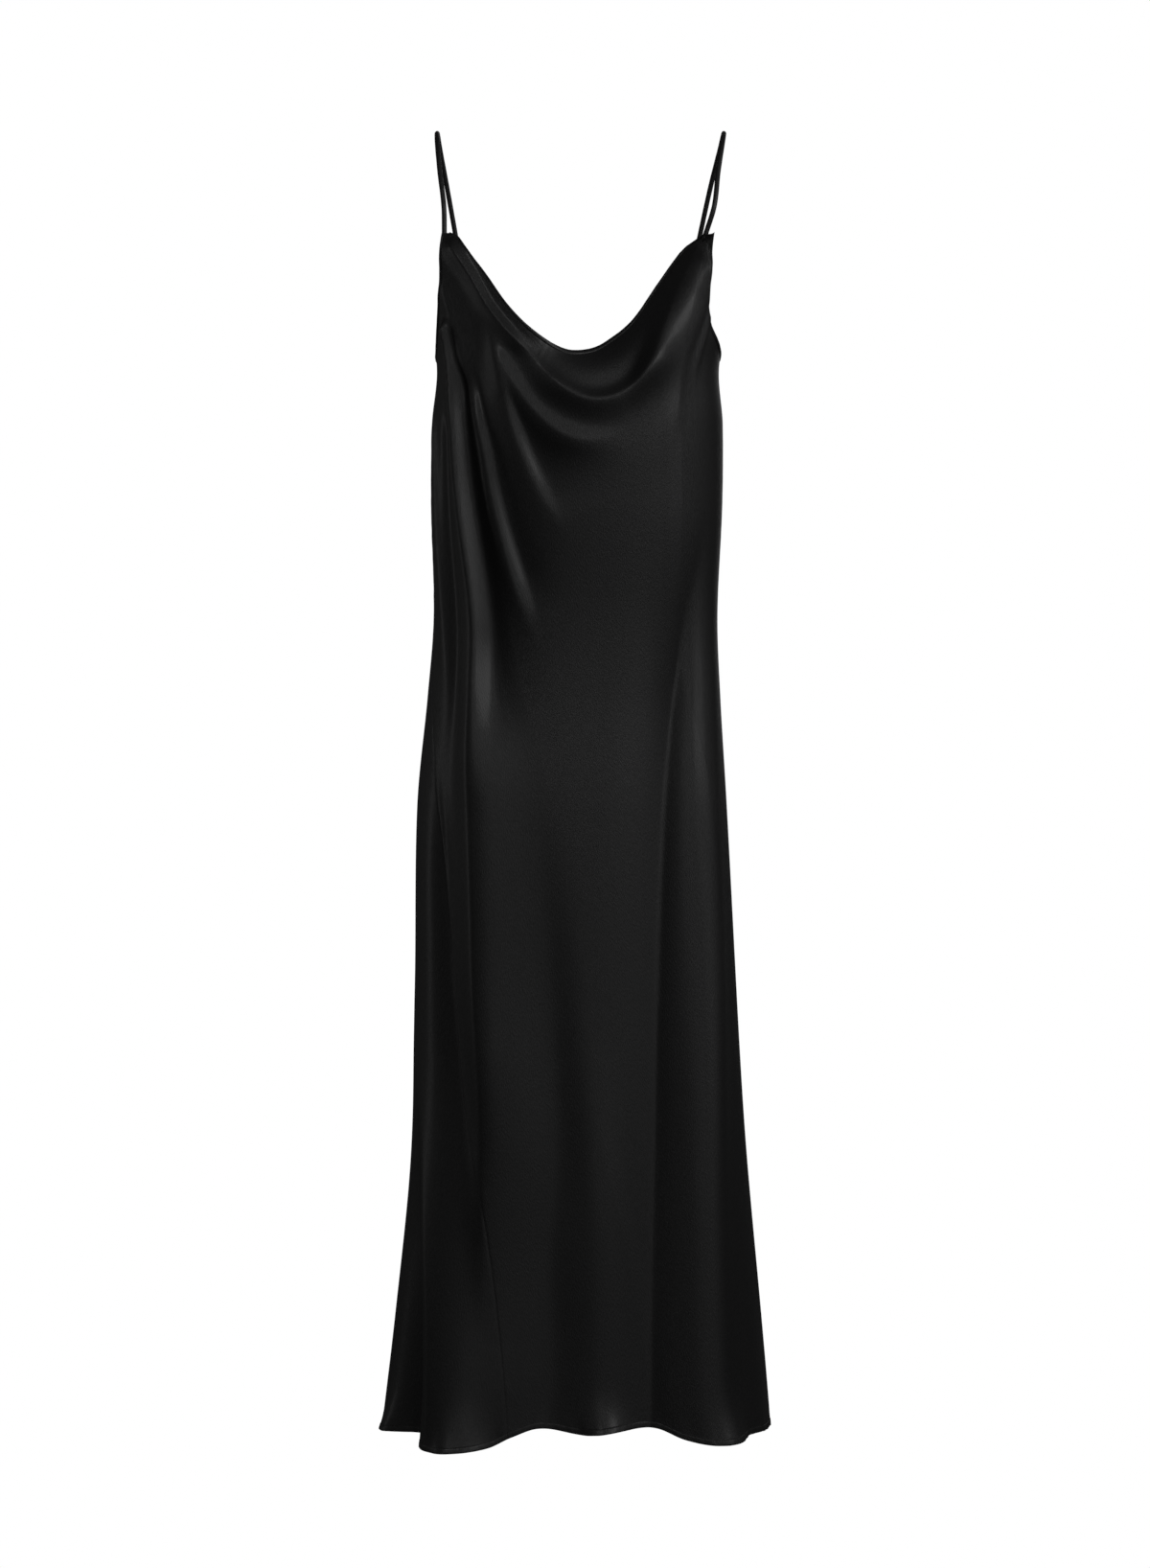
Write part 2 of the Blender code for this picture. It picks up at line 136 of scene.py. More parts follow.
# Folds and creases.  Each runs along a smooth line of (angle, z) points.  Its crest
# stands out by height (a trough when negative), is pushed along the ring by lean
# (towards +angle) and hangs down by sag.  It dies away over left and right, the widths
# on either side as one walks along the line on the outside of the cloth; widen is
# their scale at the line's end, and sharp, from 0 to 1, pinches the crest into a
# crease.  The fold fades in and out over lengths at its ends.
Fold = namedtuple("Fold", "height left right widen sharp fade_in fade_out line lean sag",
                  defaults=(0.0, 0.0))
FRONT_FOLDS = {
    "neck leans back": Fold(-0.043, 0.026, 0.026, 1, 0, 0.07, 0.03, (
        (-14, -0.188), (-7, -0.202), (2, -0.206), (11, -0.196), (21, -0.168), (30, -0.124),
        (36, -0.09))),
    "left neck stands out": Fold(0.0068, 0.02, 0.015, 1, 0, 0.03, 0.05, (
        (-38, -0.104), (-35, -0.112), (-31, -0.138), (-24, -0.179), (-15, -0.208), (-5, -0.2236))),
    "cowl roll": Fold(0.01, 0.006, 0.0175, 1, 0.35, 0.06, 0.06, (
        (-20, -0.2195), (-11, -0.2455), (-1, -0.265), (6.5, -0.271), (14.5, -0.266), (21.5, -0.253),
        (28.5, -0.226), (32, -0.2)), sag=0.002),
    "cowl roll on the right": Fold(0.016, 0.0055, 0.027, 1, 0.1, 0.06, 0.03, (
        (14.5, -0.266), (21.2, -0.2525), (27.4, -0.225), (31.6, -0.19), (35.3, -0.15), (38, -0.122),
        (39.4, -0.106))),
    "right armhole falls back": Fold(-0.0065, 0.02, 0.02, 1, 0, 0.04, 0.04, (
        (43, -0.102), (46.5, -0.127), (51.5, -0.157), (57, -0.186), (60, -0.215))),
    "cowl roll on the left": Fold(0.0088, 0.0046, 0.014, 1, 0.4, 0.02, 0.06, (
        (-39.2, -0.104), (-37.9, -0.122), (-35.5, -0.144), (-31.6, -0.177), (-26.8, -0.199),
        (-20.6, -0.219), (-10.4, -0.246))),
    "second swag": Fold(0.0055, 0.008, 0.016, 1.2, 0.2, 0.03, 0.07, (
        (-33, -0.206), (-28, -0.238), (-21, -0.266), (-14, -0.287), (-6, -0.304), (3, -0.312),
        (12, -0.31), (20, -0.3)), sag=0.002),
    "inner drape": Fold(0.0028, 0.006, 0.01, 1.6, 0.35, 0.02, 0.12, (
        (-34, -0.196), (-31.5, -0.225), (-28, -0.262), (-23, -0.304), (-17.5, -0.337),
        (-12.5, -0.365), (-7, -0.394), (-2.5, -0.425))),
    "middle drape": Fold(0.0038, 0.006, 0.01, 1.5, 0.35, 0.02, 0.12, (
        (-50, -0.15), (-51.5, -0.19), (-49, -0.237), (-42, -0.281), (-36.3, -0.324), (-33, -0.358),
        (-29.5, -0.393), (-26, -0.429), (-21.5, -0.467), (-16.5, -0.5), (-12, -0.53))),
    "outer drape": Fold(0.012, 0.005, 0.0075, 2.6, 0.4, 0.018, 0.14, (
        (-56, -0.185), (-58, -0.218), (-55.5, -0.255), (-52, -0.291), (-49.5, -0.34),
        (-47.5, -0.375), (-44.5, -0.423), (-41.5, -0.471), (-40, -0.506), (-39, -0.56),
        (-38.5, -0.62), (-37, -0.68)), lean=0.002),
    "inner drape's dip": Fold(-0.0055, 0.028, 0.009, 1.1, 0.4, 0.06, 0.07, (
        (-27.5, -0.235), (-24, -0.268), (-19, -0.302), (-14, -0.334), (-8.5, -0.365),
        (-3.5, -0.395))),
    "middle drape's dip": Fold(-0.0052, 0.02, 0.007, 1, 0.4, 0.05, 0.06, (
        (-46, -0.225), (-39, -0.275), (-33, -0.318), (-29.5, -0.355), (-25, -0.395), (-20.5, -0.43),
        (-16, -0.465), (-12, -0.492))),
    "outer drape's dip": Fold(-0.0072, 0.016, 0.006, 1.5, 0.4, 0.04, 0.14, (
        (-52.5, -0.225), (-50, -0.262), (-46.5, -0.31), (-43.5, -0.355), (-40, -0.4),
        (-36.5, -0.45), (-33.5, -0.505), (-31, -0.57), (-28.5, -0.64))),
    "left side ridge": Fold(0.004, 0.007, 0.007, 1.6, 0, 0.06, 0.12, (
        (-77, -0.25), (-72, -0.33), (-69, -0.41), (-64, -0.5), (-56, -0.57))),
    "left side valley": Fold(-0.004, 0.007, 0.006, 1.5, 0, 0.05, 0.15, (
        (-63.5, -0.26), (-60, -0.33), (-58, -0.4), (-55, -0.47), (-50, -0.56), (-45, -0.66))),
    "right armhole drape": Fold(0.0035, 0.0055, 0.014, 1.5, 0.2, 0.03, 0.12, (
        (52, -0.16), (48.5, -0.185), (45, -0.215), (41.5, -0.25), (37.5, -0.3), (34, -0.345))),
    "right armhole tuck": Fold(0.003, 0.003, 0.004, 1.4, 0.3, 0.015, 0.04, (
        (57, -0.178), (56.5, -0.192), (55.5, -0.206), (54, -0.221), (51, -0.24), (46, -0.262))),
    "right valley": Fold(-0.02, 0.011, 0.035, 2.4, 0.75, 0.22, 0.01, (
        (60, -0.37), (55.5, -0.44), (49.5, -0.515), (42.5, -0.59), (37.5, -0.66), (33, -0.76),
        (29.5, -0.87), (27, -0.98), (24.5, -1.1), (22.5, -1.23), (21.5, -1.31))),
    "right flute": Fold(0.015, 0.02, 0.02, 1.4, 0, 0.6, 0.01, (
        (70, -0.42), (66, -0.52), (60, -0.62), (55, -0.75), (50, -0.9), (45.5, -1.05), (43, -1.18),
        (41, -1.31))),
    "centre ridge": Fold(0.005, 0.022, 0.02, 1.2, 0, 0.25, 0.01, (
        (6, -0.85), (7, -0.95), (8.5, -1.1), (9, -1.31))),
    "centre valley": Fold(-0.008, 0.024, 0.026, 1.2, 0.2, 0.35, 0.01, (
        (-12.5, -0.62), (-11, -0.7), (-9, -0.8), (-8, -0.912), (-7.5, -1.006), (-9, -1.099),
        (-7.5, -1.191), (-7, -1.31))),
    "beside the seam": Fold(0.017, 0.042, 0.011, 1.1, 0.2, 0.16, 0.3, (
        (-41.5, -0.5), (-40, -0.56), (-39.5, -0.613), (-37.5, -0.688), (-36.5, -0.763),
        (-36, -0.838), (-34.5, -0.913), (-32.5, -1), (-30, -1.1), (-27, -1.2)), lean=0.009),
    "seam valley": Fold(-0.007, 0.012, 0.016, 1.4, 0.3, 0.15, 0.2, (
        (-58, -0.6), (-54, -0.66), (-51, -0.76), (-48.5, -0.84), (-44, -0.92), (-37.5, -1),
        (-31, -1.08))),
    "left flute": Fold(0.024, 0.065, 0.008, 1, 0.1, 0.4, 0.01, (
        (-72, -0.88), (-64, -0.98), (-56, -1.08), (-50.5, -1.16), (-47, -1.24), (-46, -1.31)),
        lean=0.016),
    "hem kick on the flute": Fold(0.016, 0.034, 0.02, 1, 0.2, 0.03, 0.04, (
        (-47, -1.312), (-38, -1.312), (-29, -1.31), (-20, -1.305))),
    "hem kick at the centre": Fold(0.015, 0.026, 0.02, 1, 0.2, 0.04, 0.04, (
        (-2, -1.296), (6, -1.296), (12, -1.294), (20, -1.29))),
    "hem kick on the right": Fold(0.015, 0.032, 0.02, 1, 0.2, 0.05, 0.05, (
        (34, -1.3), (44, -1.303), (54, -1.302), (64, -1.3))),
    "hem kick on the left": Fold(0.014, 0.032, 0.02, 1, 0.2, 0.05, 0.04, (
        (-88, -1.303), (-78, -1.303), (-68, -1.303), (-60, -1.303))),
    "behind the flute": Fold(-0.025, 0.01, 0.034, 1, 0, 0.4, 0.01, (
        (-80, -0.9), (-70, -1.04), (-62, -1.15), (-56, -1.24), (-54.5, -1.31))),
}
BACK_FOLDS = {
    "side flute": Fold(0.011, 0.036, 0.036, 1, 0, 0.4, 0.01, (
        (104, -0.85), (110, -1.31))),
    "right flute": Fold(0.012, 0.036, 0.036, 1, 0, 0.4, 0.01, (
        (152, -0.8), (160, -1.31))),
    "right trough": Fold(-0.011, 0.034, 0.034, 1, 0, 0.4, 0.01, (
        (129, -0.85), (135, -1.31))),
    "centre trough": Fold(-0.01, 0.032, 0.032, 1, 0, 0.4, 0.01, (
        (180, -0.76), (186, -1.31))),
    "left flute": Fold(0.012, 0.036, 0.036, 1, 0, 0.4, 0.01, (
        (206, -0.8), (212, -1.31))),
    "left trough": Fold(-0.011, 0.034, 0.034, 1, 0, 0.4, 0.01, (
        (233, -0.85), (238, -1.31))),
    "waist fold": Fold(0.005, 0.016, 0.016, 1.4, 0, 0.1, 0.15, (
        (160, -0.33), (172, -0.45), (178, -0.6))),
    "side fold": Fold(0.005, 0.015, 0.015, 1.4, 0, 0.1, 0.15, (
        (222, -0.3), (210, -0.42), (205, -0.56))),
}
FOLD_STEPS = 44             # straight pieces that a fold's line is read as
FOLD_REACH = 3.2            # widths away from its line at which a fold is nothing

# Middle lines of the straps, as (x, y, z) points from front to back.
STRAP_ROUTES = {
    "left": (
        (-0.135, -0.065, -0.078), (-0.1393, -0.05, -0.043), (-0.1426, -0.028, -0.01),
        (-0.1433, -0.002, 0.0024), (-0.1414, 0.023, -0.01), (-0.1352, 0.043, -0.044),
        (-0.1254, 0.062, -0.1), (-0.1165, 0.0735, -0.156)),
    "right": (
        (0.132, -0.065, -0.078), (0.1362, -0.05, -0.043), (0.1414, -0.028, -0.01),
        (0.1434, -0.002, 0.0024), (0.1404, 0.023, -0.01), (0.1318, 0.043, -0.044),
        (0.1196, 0.062, -0.1), (0.108, 0.0735, -0.156)),
}

# Mesh rows close to the top edge and the hem, as distances from that edge, and mesh
# columns close to a side seam, as degrees from it.
TOP_ROWS = (0.0, 0.0008, 0.0020, 0.0040, 0.0070)
HEM_ROWS = (0.0110, 0.0080, 0.0062, 0.0052, 0.0040, 0.0025, 0.0010, 0.0)
HEM_BAND_STARTS = 3         # the hem row at which its turned band starts
SEAM_COLUMNS = (0.0, 0.20, 0.42, 0.72, 1.10)
COLUMNS_CLEAR = 1.54        # degrees from a seam to the next column of even spacing
LAY_ROUNDS = 4              # rounds in which the seams and the heights settle
ROW_CROWDING = 1.8          # above 1, rows lie closer near the top edge
RIPPLES = ((0.019, 0.45), (0.031, 0.35), (0.0117, 0.25))    # (pitch, share) of each wave
SEAM_GROOVE = 0.0004        # depth and width of the dent along a side seam
SEAM_GROOVE_WIDTH = 0.0013
PUCKER_REACH = 0.009        # how far from a seam its ripples die away
HEM_PUCKER_REACH = 0.014    # and how far above the hem
SEAM_STILL = 0.0030         # no ripple this close to a side seam
HEM_RADIUS = 0.165          # turns angles at the hem into lengths
EDGE_DEPTH = 0.0040         # turned neck edge and bindings, down the cloth
EDGE_PROUD = 0.0007         # how far the bindings stand off the cloth on either side
HEM_PROUD = 0.0004
NECK_PROUD = 0.0005
CLOTH_WALL = 0.0009
STRAP_WIDTH = 0.0052
STRAP_THICKNESS = 0.005
STRAP_INSIDE = 0.0085       # how far a strap runs down inside the cloth
STRAP_RINGS = 90
STRAP_TIP = 0.0022          # length of a strap's rounded end

SHEEN_SPREAD = 0.045        # how far the satin's roughness wanders either way
STITCH_SHARE = 0.72         # length of a stitch as a share of the pitch
STITCH_TURN = 0.10          # most that a stitch lies askew, in radians

# The panels as cut, laid flat: greatest width and length, and the area in between.
Cut = namedtuple("Cut", "panel width length area sewn")

# Area lights of the stage: where each stands, what it is aimed at, its width and height.
Light = namedtuple("Light", "place target size")
LIGHTS = {
    "key": Light((1.75, -1.25, 0.45), (0.0, 0.0, -0.35), (1.7, 1.1)),
    "small": Light((-0.8, -2.6, 1.3), (0.0, -0.1, -0.3), (0.35, 0.35)),
    "rim": Light((-2.2, 0.4, -0.25), (-0.1, 0.0, -0.35), (0.5, 1.4)),
    "back": Light((0.5, 4.0, 0.7), (0.0, 0.0, -0.6), (2.5, 2.5)),
    "fill": Light((0.3, -5.2, 0.6), (0.0, 0.0, -0.6), (2.5, 2.5)),
}
ROOM_LIGHT = 0.028          # strength of the even light from all round
FLOOR_RADIUS = 7.0
SEEN_WIDTH = 1.152          # width of the view at the dress
CAMERA_SIDE = -0.0055       # where the camera stands from the dress's middle
CAMERA_DROP = 0.0018


# ---------- settings
class SlipClothSettings(bpy.types.PropertyGroup):
    """Sizes of the cloth and its edges."""
    wall: FloatProperty(
        name="Cloth wall", description="Thickness of the satin panels",
        default=CLOTH_WALL, min=0.0002, max=0.003, unit="LENGTH", precision=4)
    fold_strength: FloatProperty(
        name="Fold strength", description="Scale of every fold and crease",
        default=1.0, min=0.0, max=1.5)
    columns: IntProperty(
        name="Columns", description="Mesh columns across a panel, besides those at its seams",
        default=176, min=40, max=240)
    rows: IntProperty(
        name="Rows", description="Mesh rows down a panel, besides those at its edges",
        default=246, min=40, max=300)
    stitch_pitch: FloatProperty(
        name="Stitch pitch", description="From one stitch to the next along a seam",
        default=0.0028, min=0.001, max=0.02, unit="LENGTH", precision=4)
    stitch_thickness: FloatProperty(
        name="Stitch thickness", description="Thickness of the sewing thread",
        default=0.00034, min=0.0001, max=0.002, unit="LENGTH", precision=5)
    pucker: FloatProperty(
        name="Seam pucker", description="How far the sewn seams and hem ripple",
        default=0.0005, min=0.0, max=0.002, unit="LENGTH", precision=4)


class SlipFinishSettings(bpy.types.PropertyGroup):
    """Colour and gloss of the satin."""
    colour: FloatVectorProperty(
        name="Satin colour", description="Colour of the face of the satin",
        subtype="COLOR", size=3, min=0.0, max=1.0, default=(0.0024, 0.0024, 0.0026))
    inside_colour: FloatVectorProperty(
        name="Inside colour", description="Colour of the dull reverse of the satin",
        subtype="COLOR", size=3, min=0.0, max=1.0, default=(0.0080, 0.0080, 0.0085))
    thread_colour: FloatVectorProperty(
        name="Thread colour", description="Colour of the sewing thread",
        subtype="COLOR", size=3, min=0.0, max=1.0, default=(0.0070, 0.0070, 0.0074))
    roughness: FloatProperty(
        name="Roughness", description="Roughness of the satin's broad sheen",
        default=0.60, min=0.05, max=1.0)
    thread: FloatProperty(
        name="Thread grain", description="Size of the grain that the weave shows",
        default=0.0011, min=0.0002, max=0.01, unit="LENGTH", precision=4)


class SlipStageSettings(bpy.types.PropertyGroup):
    """Camera and lights."""
    camera_distance: FloatProperty(
        name="Camera distance", description="From the camera to the middle of the dress",
        default=4.5, min=1.0, max=20.0, unit="LENGTH")
    key_strength: FloatProperty(
        name="Key light", description="Power of the large light at the front right",
        default=21.0, min=0.0, max=1000.0, unit="POWER")
    small_strength: FloatProperty(
        name="Small light", description="Power of the small light high on the left",
        default=8.0, min=0.0, max=1000.0, unit="POWER")
    rim_strength: FloatProperty(
        name="Side light", description="Power of the narrow light at the left",
        default=2.5, min=0.0, max=1000.0, unit="POWER")
    back_strength: FloatProperty(
        name="Back light", description="Power of the wide light behind the dress",
        default=14.0, min=0.0, max=1000.0, unit="POWER")
    fill_strength: FloatProperty(
        name="Fill light", description="Power of the wide light near the camera",
        default=12.0, min=0.0, max=1000.0, unit="POWER")
    floor_drop: FloatProperty(
        name="Floor drop", description="From the hem down to the floor",
        default=0.30, min=0.0, max=2.0, unit="LENGTH")


# ---------- smooth curves
def through(keys, values, at):
    """Smooth curve through values at rising keys, read at every number in at."""
    keys, values = np.asarray(keys, float), np.asarray(values, float)
    at = np.clip(at, keys[0], keys[-1])
    low = np.clip(np.searchsorted(keys, at, side="right") - 1, 0, len(keys) - 2)
    high = low + 1
    spot = np.arange(len(keys))
    before, after = np.maximum(spot - 1, 0), np.minimum(spot + 1, len(keys) - 1)
    slope = (values[after] - values[before]) / (keys[after] - keys[before])
    span = keys[high] - keys[low]
    t = (at - keys[low]) / span
    return ((2 * t**3 - 3 * t**2 + 1) * values[low]
            + (t**3 - 2 * t**2 + t) * span * slope[low]
            + (3 * t**2 - 2 * t**3) * values[high]
            + (t**3 - t**2) * span * slope[high])


def edge_height(edge, angle):
    """Height, at any angle, of an edge given as (angle, z) points."""
    return through(*zip(*edge), angle)


def fade(t):
    t = np.clip(t, 0.0, 1.0)
    return t * t * (3 - 2 * t)


def walked(points, axis):
    """Distance walked along one axis of a line or a grid of points."""
    steps = np.linalg.norm(np.diff(points, axis=axis), axis=-1)
    start = np.zeros_like(np.take(steps, [0], axis=axis))
    return np.concatenate([start, np.cumsum(steps, axis=axis)], axis=axis)


def resample(points, count):
    """Evenly counted points on a smooth curve through a few chosen ones."""
    points = np.asarray(points, float)
    keys = walked(points, 0)
    at = np.linspace(0.0, keys[-1], count)
    return np.stack([through(keys, values, at) for values in points.T], axis=1)


def unit(vectors):
    length = np.linalg.norm(vectors, axis=-1, keepdims=True)
    return vectors / np.maximum(length, 1e-12)


# ---------- the cloth's form
def body_ring(angle, z):
    """Points of the plain body form, before any fold."""
    turn = np.radians(angle)
    heights, *reaches = zip(*SECTIONS)
    left, right, front, back = (through(heights, reach, z) for reach in reaches)
    across = (np.sin(turn) + SQUARENESS * np.sin(3 * turn)) / (1 - SQUARENESS)
    along = (np.cos(turn) - SQUARENESS * np.cos(3 * turn)) / (1 - SQUARENESS)
    depth = np.where(along > 0, front, back)
    return np.stack([(left + right) / 2 + across * (right - left) / 2,
                     -depth * along, z + 0.0 * turn], axis=-1)


def ring_directions(angle, z):
    """Level directions along the ring, towards +angle, and out of it."""
    along = unit(body_ring(angle + 1.0, z) - body_ring(angle - 1.0, z))
    out = np.stack([along[..., 1], -along[..., 0], np.zeros(along.shape[:-1])], axis=-1)
    return along, out


def fold_share(fold, points, out):
    """Share of a fold, from 0 to 1, that reaches each of the points."""
    line = resample([(a / 100, z) for a, z in fold.line], FOLD_STEPS + 1)
    route = body_ring(line[:, 0] * 100, line[:, 1])
    steps = np.diff(route, axis=0)
    so_far = walked(route, 0)
    reach = FOLD_REACH * max(fold.left, fold.right) * max(1.0, fold.widen)
    low, high = route.min(axis=0) - reach, route.max(axis=0) + reach
    near = np.all((points > low) & (points < high), axis=-1)
    share = np.zeros(points.shape[:-1])
    here, outward = points[near], out[near]
    if not len(here):
        return share
    nearest = np.full(len(here), np.inf)
    side = np.zeros(len(here))
    travel = np.zeros(len(here))
    for start, step, before in zip(route, steps, so_far):
        length = np.linalg.norm(step)
        away = here - start
        along = np.clip(away @ step / length**2, 0.0, 1.0)
        away = away - along[:, None] * step
        distance = np.linalg.norm(away, axis=1)
        closer = distance < nearest
        nearest = np.where(closer, distance, nearest)
        turned = np.einsum("ij,ij->i", np.cross(step, away), outward)
        side = np.where(closer, turned, side)
        travel = np.where(closer, before + along * length, travel)
    width = np.where(side > 0, fold.left, fold.right)
    width = width * (1 + (fold.widen - 1) * travel / so_far[-1])
    ends = fade(travel / fold.fade_in) * fade((so_far[-1] - travel) / fold.fade_out)
    share[near] = np.exp(-(nearest / width) ** (2.0 - fold.sharp)) * ends
    return share


def ripple(x, seed):
    """A smooth uneven wave of x, in metres, between about -1 and 1."""
    return sum(share * np.sin(2 * math.pi * x / pitch + seed * 1.7 + pitch * 900)
               for pitch, share in RIPPLES)


def cloth_points(angle, z, strength):
    """Points of the cloth: the body form moved by every fold."""
    points = body_ring(angle, z)
    along, out = ring_directions(angle, z)
    moved = points.copy()
    for fold in (*FRONT_FOLDS.values(), *BACK_FOLDS.values()):
        share = (strength * fold_share(fold, points, out))[..., None]
        moved += share * (fold.height * out + fold.lean * along)
        moved[..., 2:] -= share * fold.sag
    return moved


# ---------- the panels
def front_top(angle):
    armhole = np.where(angle < 0, edge_height(LEFT_ARMHOLE, angle),
                       edge_height(RIGHT_ARMHOLE, angle))
    return np.where(np.abs(angle) >= TIP_OUTER, armhole, edge_height(COWL_NECK, angle))


def seam_angles(z):
    """Angles of the left and the right seam."""
    heights, *sides = zip(*SEAMS)
    return [through(heights, side, z) for side in sides]


Sheet = namedtuple("Sheet", "points normals angles")


def share_of_rows(count):
    """Rows as (share of the height, distance from the top, distance from the hem)."""
    middle = (np.arange(1, count) / count) ** ROW_CROWDING
    rows = [(0.0, d, 0.0) for d in TOP_ROWS]
    rows += [(f, TOP_ROWS[-1] * (1 - f), HEM_ROWS[0] * f) for f in middle]
    return np.array(rows + [(1.0, 0.0, d) for d in HEM_ROWS])


# Columns across each panel, in runs of even spacing: start, end and share of them all.
COLUMN_RUNS = {
    "front": ((-UNDERARM, -TIP_OUTER, 0.33), (-TIP_OUTER, -TIP_INNER, 0.02),
              (-TIP_INNER, -5.0, 0.27), (-5.0, TIP_INNER, 0.18),
              (TIP_INNER, TIP_OUTER, 0.02), (TIP_OUTER, UNDERARM, 0.18)),
    "back": ((UNDERARM, RIGHT_STRAP_AT_BACK, 0.25),
             (RIGHT_STRAP_AT_BACK, LEFT_STRAP_AT_BACK, 0.50),
             (LEFT_STRAP_AT_BACK, 360 - UNDERARM, 0.25)),
}


def column_angles(name, count):
    """A panel's columns, by their angle at the top edge."""
    runs = COLUMN_RUNS[name]
    angles = np.concatenate([
        np.linspace(start, end, max(2, round(count * share)), endpoint=False)
        for start, end, share in runs])
    first, last = runs[0][0], runs[-1][1]
    close = np.array(SEAM_COLUMNS)
    inner = angles[(angles > first + COLUMNS_CLEAR) & (angles < last - COLUMNS_CLEAR)]
    return np.concatenate([first + close, inner, last - close[::-1]])


def column_at(node, angle):
    """The column of a laid panel that starts at an angle on its top edge."""
    return int(np.argmin(np.abs(sheet_of(node).angles - angle)))


def grid_normals(points):
    """Outward normals of a grid whose rows run down and whose columns run to +angle."""
    down = np.gradient(points, axis=0)
    across = np.gradient(points, axis=1)
    return unit(np.cross(down, across))


def seam_pull(points, angle, cloth):
    """How far a panel is drawn in at its side seams, and ripples beside them."""
    across, down = walked(points, 1), walked(points, 0)
    nearest = np.minimum(across, across[:, -1:] - across)
    below = down[-1:] - down
    groove = -SEAM_GROOVE * np.exp(-(nearest / SEAM_GROOVE_WIDTH) ** 2)
    beside = ripple(points[..., 2], 3) * np.exp(-(nearest / PUCKER_REACH) ** 2)
    hem = ripple(np.radians(angle) * HEM_RADIUS, 7) * np.exp(-(below / HEM_PUCKER_REACH) ** 2)
    clear = 1 - np.exp(-(nearest / SEAM_STILL) ** 2)
    return groove + cloth.pucker * clear * (0.5 * beside + hem)


def lay_panel(name, cloth):
    """Every point of a panel's face, row by row from its top edge to its hem."""
    tops = column_angles(name, cloth.columns)
    rows = share_of_rows(cloth.rows)
    shares = (tops - tops[0]) / (tops[-1] - tops[0])
    top = front_top(tops) if name == "front" else edge_height(BACK_TOP, tops)
    z = np.tile(top, (len(rows), 1))
    for _ in range(LAY_ROUNDS):
        left, right = seam_angles(z)
        first, last = (left, right) if name == "front" else (right, left + 360)
        angle = first + shares * (last - first)
        hem = edge_height(HEM, np.where(angle > HEM[-1][0], angle - 360, angle))
        z = (top - rows[:, 1:2]) * (1 - rows[:, :1]) + (hem + rows[:, 2:3]) * rows[:, :1]
    points = cloth_points(angle, z, cloth.fold_strength)
    out = ring_directions(angle, z)[1]
    points = points + seam_pull(points, angle, cloth)[..., None] * out
    return Sheet(points, grid_normals(points), tops)


SHEETS = {}


def sheet_of(name):
    """A panel's points, worked out once."""
    if name not in SHEETS:
        SHEETS[name] = lay_panel(name, bpy.context.scene.slip_cloth)
    return SHEETS[name]


def grid_mesh(name, points):
    """A mesh of quads on a grid of points, with its UV map in metres along the cloth."""
    rows, columns = points.shape[:2]
    index = np.arange(rows * columns).reshape(rows, columns)
    quads = np.stack([index[:-1, :-1], index[1:, :-1], index[1:, 1:], index[:-1, 1:]], axis=-1)
    mesh = bpy.data.meshes.new(name)
    mesh.from_pydata(points.reshape(-1, 3).tolist(), [], quads.reshape(-1, 4).tolist())
    across = walked(points, 1)
    across -= across[:, columns // 2:columns // 2 + 1]
    uv = np.stack([across, -walked(points, 0)], axis=-1).reshape(-1, 2)
    loops = np.zeros(len(mesh.loops), dtype=np.int32)
    mesh.loops.foreach_get("vertex_index", loops)
    layer = mesh.uv_layers.new(name="cloth")
    layer.data.foreach_set("uv", uv[loops].ravel().astype(np.float32))
    mesh.shade_smooth()
    ends = np.zeros(2 * len(mesh.edges), dtype=np.int32)
    mesh.edges.foreach_get("vertices", ends)
    row, column = np.divmod(ends.reshape(-1, 2), columns)
    border = (np.all(row == 0, axis=1) | np.all(row == rows - 1, axis=1)
              | np.all(column == 0, axis=1) | np.all(column == columns - 1, axis=1))
    sharp = mesh.attributes.new("sharp_edge", "BOOLEAN", "EDGE")
    sharp.data.foreach_set("value", border)
    return mesh


def add_object(name, mesh):
    thing = bpy.data.objects.new(name, mesh)
    bpy.context.scene.collection.objects.link(thing)
    return thing


def make_panel(name, node, cloth):
    """One panel as a thin shell whose outer face is the laid cloth."""
    mesh = grid_mesh(name, sheet_of(node).points)
    mesh.materials.append(bpy.data.materials["satin_face"])
    mesh.materials.append(bpy.data.materials["satin_reverse"])
    panel = add_object(name, mesh)
    wall = panel.modifiers.new("wall", "SOLIDIFY")
    wall.thickness = cloth.wall
    wall.offset = -1.0
    wall.use_quality_normals = True
    wall.material_offset = 1
    return panel


# ---------- edges and straps
Strip = namedtuple("Strip", "points normals depths")


def edge_strip(node, edge, first=0, last=None):
    """The rows of a panel beside its top edge or its hem, from the edge inwards."""
    sheet = sheet_of(node)
    columns = slice(first, last)
    if edge == "top":
        rows = slice(0, 1 + np.searchsorted(TOP_ROWS, EDGE_DEPTH))
        depths = np.array(TOP_ROWS)
    else:
        rows = slice(-1, -1 - len(HEM_ROWS) + HEM_BAND_STARTS, -1)
        depths = np.array(HEM_ROWS[::-1])
    points = sheet.points[rows, columns]
    return Strip(points, sheet.normals[rows, columns], depths[:len(points)])


def join_strips(one, other):
    """One strip that runs on into another, which starts where the first one ends."""
    return Strip(np.concatenate([one.points, other.points[:, 1:]], axis=1),
                 np.concatenate([one.normals, other.normals[:, 1:]], axis=1), one.depths)


def turned(strip):
    return Strip(strip.points[:, ::-1], strip.normals[:, ::-1], strip.depths)


Edge = namedtuple("Edge", "name strip proud material slot replaced wave seed stitch_depth")


